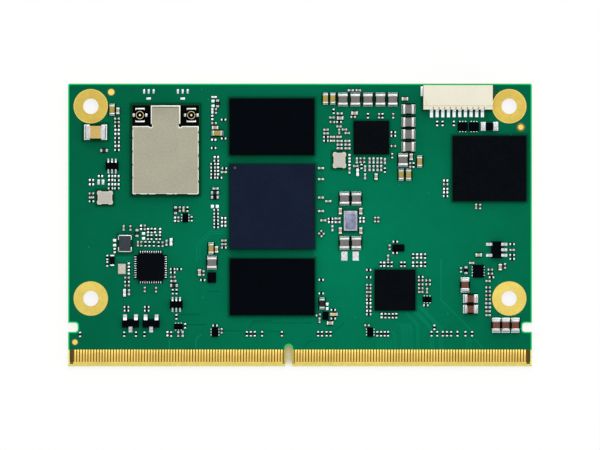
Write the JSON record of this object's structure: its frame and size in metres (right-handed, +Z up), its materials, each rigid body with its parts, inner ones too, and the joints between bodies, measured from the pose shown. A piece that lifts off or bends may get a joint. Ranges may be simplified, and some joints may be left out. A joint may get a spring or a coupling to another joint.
{
  "type": "system on module",
  "caption": "Flat card-edge computer module with green board, processor, memories, shielded wireless unit, side header, fixing holes and gold edge contacts.",
  "frame": {"origin": "middle of the board's underside", "axes": "+X along the card edge, +Y from the card edge towards the header, +Z up from the underside to the parts"},
  "size_m": [0.082, 0.05, 0.0042],
  "materials": {
    "solder_mask": "satin green solder mask with gold lands",
    "package": "fine matte moulding compound",
    "processor": "dark blue-grey matte moulding compound",
    "wireless_board": "satin black solder mask",
    "shield_can": "tinned sheet, fine satin",
    "gold": "gold plate",
    "header_housing": "cream moulded plastic",
    "tin": "matte tin plate",
    "crystal": "pale ceramic with a metal lid",
    "brown_ceramic": "brown ceramic with tinned ends",
    "tan_ceramic": "tan ceramic with tinned ends"
  },
  "bodies": {
    "root": {"antenna_socket_left": "gold", "antenna_socket_right": "gold", "bulk_capacitor": "tan_ceramic", "ceramic_capacitor_1": "brown_ceramic", "ceramic_capacitor_2": "brown_ceramic", "ceramic_capacitor_3": "brown_ceramic", "ceramic_capacitor_4": "brown_ceramic", "ceramic_capacitor_5": "brown_ceramic", "ceramic_capacitor_6": "brown_ceramic", "codec_chip": "package", "coil_inductor": "package", "converter_chip": "package", "crystal_left": "crystal", "crystal_middle": "crystal", "crystal_small": "crystal", "diode": "package", "fuse": "package", "gate_chip_left": "package", "gate_chip_middle": "package", "header_contact_1": "tin", "header_contact_10": "tin", "header_contact_2": "tin", "header_contact_3": "tin", "header_contact_4": "tin", "header_contact_5": "tin", "header_contact_6": "tin", "header_contact_7": "tin", "header_contact_8": "tin", "header_contact_9": "tin", "header_housing": "header_housing", "header_tab_left": "tin", "header_tab_right": "tin", "interface_chip": "package", "load_switch_left": "package", "load_switch_right": "package", "logic_chip_a": "package", "logic_chip_b": "package", "logic_chip_c": "package", "logic_chip_d": "package", "logic_chip_e": "package", "logic_chip_f": "package", "logic_chip_g": "package", "memory_lower": "package", "memory_upper": "package", "oscillator": "crystal", "power_chip": "package", "printed_board": "solder_mask", "processor": "processor", "radio_chip": "package", "regulator": "package", "regulator_small": "package", "shield_can": "shield_can", "storage_chip": "package", "transistor_left": "package", "transistor_right": "package", "wireless_board": "wireless_board"}
  },
  "joints": []
}
